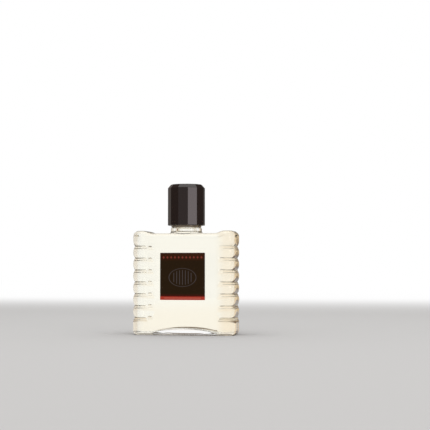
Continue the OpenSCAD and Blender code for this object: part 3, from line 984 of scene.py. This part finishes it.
# The label is taller than wide. With that difference made up, the greater of the distances across and
# upright from the centre is the same all along a frame.
evened = math_node(tree, "SUBTRACT", across, HALF_LABEL_W - HALF_LABEL_H)
framed = math_node(tree, "MAXIMUM", evened, upright)
frame_inner = HALF_LABEL_H - FRAME_IN - FRAME_LINE_W
frame_line = within(tree, framed, frame_inner, HALF_LABEL_H - FRAME_IN, 0.04)
colour = over(tree, colour, GREY_PRINT, product(tree, frame_line, 0.5))
colour = over(tree, colour, DEEP_RED, eased(tree, up, FOOT + FADE_LOW, FOOT + FADE_H, 0.9, 0.0))
colour = over(tree, colour, BAND, within(tree, up, FOOT - 1, FOOT + BAND_H))
hairline = within(tree, up, FOOT + HAIR_LOW, FOOT + HAIR_HIGH)
colour = over(tree, colour, ROSE, product(tree, hairline, within(tree, across, -1, HAIR_HALF_W)))
# The side stuck to the glass carries no print.
stuck = within(tree, into, label_high[1] - 0.01, label_high[1] + 1, 0.005)
tree.links.new(over(tree, colour, FILM, stuck), shader.inputs["Base Color"])
hazed(tree, shader, 0.32, 0.42, 1500.0)
shader.inputs["IOR"].default_value = 1.18
print("the label's tree has", len(tree.nodes), "nodes")

# %% [markdown]
# ### The film
#
# The label is a film 0.15 mm thick. One flat face would look the same from straight ahead, but it has no
# edge to catch the light. So the film is a closed sheet: a rounded rectangle that starts on the glass,
# comes forward by the film's thickness and turns in over a tiny rounded edge.

# %% Build the label
LABEL_R, LABEL_EDGE = 0.5, 0.05


def sheet_ring(shrink, y):
    """A rounded rectangle in the label's plane, moved in by shrink, anticlockwise as seen from the front."""
    turn = np.linspace(0, math.pi / 2, 7)
    arc = np.stack([np.cos(turn), np.sin(turn)], -1)
    centre = np.array([HALF_LABEL_W - LABEL_R, HALF_LABEL_H - LABEL_R])
    parts = []
    for signs in ([1, 1], [-1, 1], [-1, -1], [1, -1]):
        # A mirrored arc runs the other way, so its points are taken in reverse.
        quarter = arc if signs[0] * signs[1] > 0 else arc[::-1]
        parts.append(centre * signs + (LABEL_R - shrink) * quarter * signs)
    x, z = np.concatenate(parts).T
    return np.stack([x, np.full(len(x), y), z + CENTRE_Z], -1)


back_y, front_y = label_high[1], label_low[1]
sheet = [(0.3, back_y), (0, back_y), (0, front_y + LABEL_EDGE), (0.015, front_y + 0.015)]
sheet += [(LABEL_EDGE, front_y), (0.3, front_y)]
label_rings = np.stack([sheet_ring(shrink, y) for shrink, y in sheet])
label_ends = [(0, back_y, CENTRE_Z), (0, front_y, CENTRE_Z)]
skin("label_film", label_rings, label_ends, "bottle", "front_label", [label])

# %% [markdown]
# ## The stage
#
# Glass has no look of its own: it shows what is round it. The stage is a pale floor that curves up into a
# backdrop, and beyond its edges lies the room. The eye sees the backdrop as plain white. Rays that have
# gone through the glass or bounced off it may see something else, and that is what draws the bottle: a
# warm white behind it, a little deeper on either side, and dark above, as real studios do with cards that
# stand just out of sight. Close round its foot those rays find a painted shadow, a darker patch.
#
# The sweep is one grid, x across it and a path in y and z along it.

# %% Floor and backdrop
FLOOR_FRONT_Y, CURVE_Y, CURVE_R, WALL_TOP_Z, SWEEP_HALF_W = -4.0, 1.2, 0.4, 1.8, 3.4


def sweep_mesh():
    """Level floor, a quarter circle of CURVE_R, and a wall."""
    turn = np.linspace(0, math.pi / 2, 13)
    curve = np.stack([CURVE_Y + CURVE_R * np.sin(turn), CURVE_R - CURVE_R * np.cos(turn)], -1)
    level = [[FLOOR_FRONT_Y, 0.0], [-1.0, 0.0], [0.0, 0.0]]
    path = np.concatenate([level, curve, [[CURVE_Y + CURVE_R, WALL_TOP_Z]]])
    x = np.linspace(-SWEEP_HALF_W, SWEEP_HALF_W, 13)
    size = (len(path), len(x))
    across = np.broadcast_to(x[None, :, None], size + (1,))
    grid = np.concatenate([across, np.broadcast_to(path[:, None], size + (2,))], -1)
    rows, columns = size
    corner = (np.arange(rows - 1)[:, None] * columns + np.arange(columns - 1)).ravel()
    faces = np.stack([corner, corner + 1, corner + columns + 1, corner + columns], -1)
    mesh = bpy.data.meshes.new("sweep")
    mesh.from_pydata(grid.reshape(-1, 3), [], faces.tolist())
    mesh.polygons.foreach_set("use_smooth", np.ones(len(mesh.polygons), bool))
    mesh.update()
    return mesh


sweep = linked("sweep", sweep_mesh())
print("sweep faces:", len(sweep.data.polygons))

# %% [markdown]
# ### What light finds on the sweep
#
# The colour that a ray finds after it has gone through the glass depends on where it lands. On the floor
# that is how far from the bottle it lands and in which direction, and on the wall how high. Each tone is
# laid over the one before it, and every change is eased, because a hard edge would show in the glass as
# a line that the bottle doesn't have.

# %% Tones seen through the glass
FLOOR_TONE, UNDERFOOT_PAINTED_SHADOW = (0.99, 0.96, 0.92), (0.16, 0.11, 0.07)
BLUSH, LEFT_TONE, RIGHT_TONE = (0.87, 0.79, 0.69), (0.84, 0.77, 0.66), (0.85, 0.8, 0.71)
ABOVE_LEFT, ABOVE_RIGHT = (0.1, 0.06, 0.035), (0.1, 0.07, 0.04)
# Where each change happens: distances in metres, and directions in radians from straight behind.
UNDERFOOT, FLOOR_FADE = (0.052, 0.085), (0.25, 1.2)
BEHIND_LEFT, FAR_LEFT, FAR_RIGHT = (-0.75, -0.45), (-1.4, -1.0), (0.1, 0.7)
ABOVE, ABOVE_MIDDLE = (0.45, 0.75), (-0.42, -0.22)

sweep_look, tree, shader, out = material("sweep")
tree.nodes.remove(shader)
x, y, z = places(tree)
floor_spot = node(tree, "ShaderNodeCombineXYZ", X=x, Y=y).outputs[0]
away = node(tree, "ShaderNodeVectorMath", {"operation": "LENGTH"}, Vector=floor_spot).outputs["Value"]
direction = math_node(tree, "ARCTAN2", x, y)
# Close round the foot, rays through the glass find a painted shadow.
seen = over(tree, UNDERFOOT_PAINTED_SHADOW, FLOOR_TONE, eased(tree, away, *UNDERFOOT))
seen = over(tree, seen, WHITE, eased(tree, away, *FLOOR_FADE))
seen = over(tree, seen, BLUSH, eased(tree, direction, *BEHIND_LEFT, 1.0, 0.0))
seen = over(tree, seen, LEFT_TONE, eased(tree, direction, *FAR_LEFT, 1.0, 0.0))
seen = over(tree, seen, RIGHT_TONE, eased(tree, direction, *FAR_RIGHT))
above = over(tree, ABOVE_LEFT, ABOVE_RIGHT, eased(tree, x, *ABOVE_MIDDLE))
seen = over(tree, seen, above, eased(tree, z, *ABOVE))
print("tones are laid from the floor up, nodes so far:", len(tree.nodes))

# %% [markdown]
# ### Mirrored light, and the light that is left
#
# A reflection of a white wall would wash out the black cap, so bounced rays find the backdrop much
# dimmer, and a little warm. Low down on the right it is brighter again and gold: that patch shows only in
# the glass's right end, which would otherwise mirror the dark. Light Path tells the kinds of ray apart.
# Wherever none of this holds, and so on the floor near the bottle too, the sweep is plain matt paint,
# which catches the bottle's shadow.

# %% How much each kind of ray sees
PALE, GLEAM = (1.0, 0.88, 0.8), (1.0, 0.8, 0.55)
BACKDROP_Y = (0.35, 1.35)  # where the floor turns into the plain backdrop
MIRRORED_LEFT, MIRRORED_RIGHT, MIRRORED_X = 0.33, 0.12, (-0.9, -0.2)
PATCH_LEVEL, PATCH_X, PATCH_TOP = 0.6, (0.1, 0.7), (0.14, 0.17)

rays = tree.nodes.new("ShaderNodeLightPath").outputs
through = rays["Is Transmission Ray"]
# Rays that have gone through glass count as glossy too, so those are taken out again.
bounced = product(tree, rays["Is Glossy Ray"], math_node(tree, "SUBTRACT", 1.0, through))
far = eased(tree, y, *BACKDROP_Y)
low_down = eased(tree, z, *PATCH_TOP, 1.0, 0.0)
patch = product(tree, within(tree, x, *PATCH_X, 0.15), low_down)
mirrored = eased(tree, x, *MIRRORED_X, MIRRORED_LEFT, MIRRORED_RIGHT)
mirrored = math_node(tree, "MAXIMUM", mirrored, product(tree, patch, PATCH_LEVEL))
mirrored = product(tree, far, mirrored)

amount = math_node(tree, "MAXIMUM", product(tree, far, rays["Is Camera Ray"]), through)
amount = math_node(tree, "MAXIMUM", amount, product(tree, far, bounced))
shade = over(tree, over(tree, WHITE, PALE, bounced), GLEAM, product(tree, bounced, patch))
shade = over(tree, shade, seen, through)
unbounced = math_node(tree, "SUBTRACT", 1.0, bounced)
strength = math_node(tree, "ADD", product(tree, bounced, mirrored), unbounced)
paint = node(tree, "ShaderNodeBsdfDiffuse", Color=(0.6, 0.6, 0.6, 1.0))
glow = node(tree, "ShaderNodeEmission", Color=shade, Strength=strength)
both = node(tree, "ShaderNodeMixShader", i0=amount, i1=paint.outputs[0], i2=glow.outputs[0])
tree.links.new(both.outputs[0], out.inputs["Surface"])
sweep.data.materials.append(sweep_look)
print("the sweep's tree has", len(tree.nodes), "nodes")

# %% [markdown]
# ### The room and its lamps
#
# The room is what lies beyond the sweep. It lights the scene softly, looks white to the eye, and is dim
# and warm to rays that bounce or go through the glass: that darkness draws the thin outlines of the ribs.
# Three softboxes light the object. A tall one to the right puts the bright stripe on one flat of the
# cap, one overhead lights the bevel, and a weak one in front lifts the flats that face it.

# %% The room
ROOM, ROOM_MIRRORED, ROOM_SEEN_THROUGH = (1.0, 0.98, 0.96), (1.0, 0.78, 0.7), (0.25, 0.17, 0.1)

world = bpy.data.worlds.new("room")
bpy.context.scene.world = world
world.use_nodes = True
tree = world.node_tree
ground = tree.nodes["Background"]
rays = tree.nodes.new("ShaderNodeLightPath").outputs


def by_ray(tree, rays, other, **levels):
    """other for every kind of ray but those named, each of which gets its own level. The last name wins."""
    value = other
    for name, level in levels.items():
        kind = rays[f"Is {name} Ray"]
        rest = product(tree, value, math_node(tree, "SUBTRACT", 1.0, kind))
        value = math_node(tree, "ADD", rest, product(tree, kind, level))
    return value


tree.links.new(by_ray(tree, rays, 0.8, Glossy=0.2, Transmission=1.0, Camera=1.0), ground.inputs["Strength"])
room = over(tree, ROOM, ROOM_MIRRORED, rays["Is Glossy Ray"])
room = over(tree, room, ROOM_SEEN_THROUGH, rays["Is Transmission Ray"])
tree.links.new(room, ground.inputs["Color"])
print("room:", world.name)

# %% The lamps


def softbox(name, where, toward, width, height, radiance, colour=WHITE):
    """An area light that faces toward. Power = radiance * pi * area, so it is as bright at any size."""
    light = bpy.data.lights.new(name, "AREA")
    light.shape, light.size, light.size_y = "RECTANGLE", width, height
    light.energy = radiance * math.pi * width * height
    light.color = colour
    lamp = linked(name, light)
    lamp.location = where
    lamp.rotation_euler = (Vector(toward) - Vector(where)).to_track_quat("-Z", "Y").to_euler()
    lamp.visible_camera = False
    print(f"{name}: {light.energy:.2f} W")


STRIP_SIDE, STRIP_AWAY, STRIP_Z = math.radians(49), 1.5, 0.31
strip_at = (STRIP_AWAY * math.sin(STRIP_SIDE), -STRIP_AWAY * math.cos(STRIP_SIDE), STRIP_Z)
softbox("strip", strip_at, (0, 0, STRIP_Z), 0.3, 0.6, 3.2, (1.0, 0.9, 0.92))
softbox("overhead", (0.05, -0.1, 1.5), (0, 0, 0), 1.2, 1.2, 1.62)
softbox("front", (-0.29, -1.47, 0.12), (0, 0, 0.12), 0.5, 0.5, 0.32, (1.0, 0.95, 1.0))

# %% [markdown]
# ## The camera
#
# The camera stands a metre away, a little to the right of the front and about as high as the middle of
# the bottle, with a long lens. From there the shoulders and the base are both seen almost edge on. The
# bottle stands low and to the left of the middle, so the camera aims above it and to its right.

# %% Camera
CAMERA_SIDE, CAMERA_Z, LENS = math.radians(11), 0.060, 92.8
AIM_RIGHT, AIM_Z = 0.0258, 0.1073

camera = linked("camera", bpy.data.cameras.new("camera"))
camera.data.lens = LENS
camera.location = (math.sin(CAMERA_SIDE), -math.cos(CAMERA_SIDE), CAMERA_Z)
aim = Vector((AIM_RIGHT * math.cos(CAMERA_SIDE), AIM_RIGHT * math.sin(CAMERA_SIDE), AIM_Z))
camera.rotation_euler = (aim - camera.location).to_track_quat("-Z", "Y").to_euler()
camera.data.clip_start, camera.data.clip_end = 0.02, 30
bpy.context.scene.camera = camera
bpy.context.scene.view_settings.view_transform = "Standard"
print("camera at", [round(v, 4) for v in camera.location])
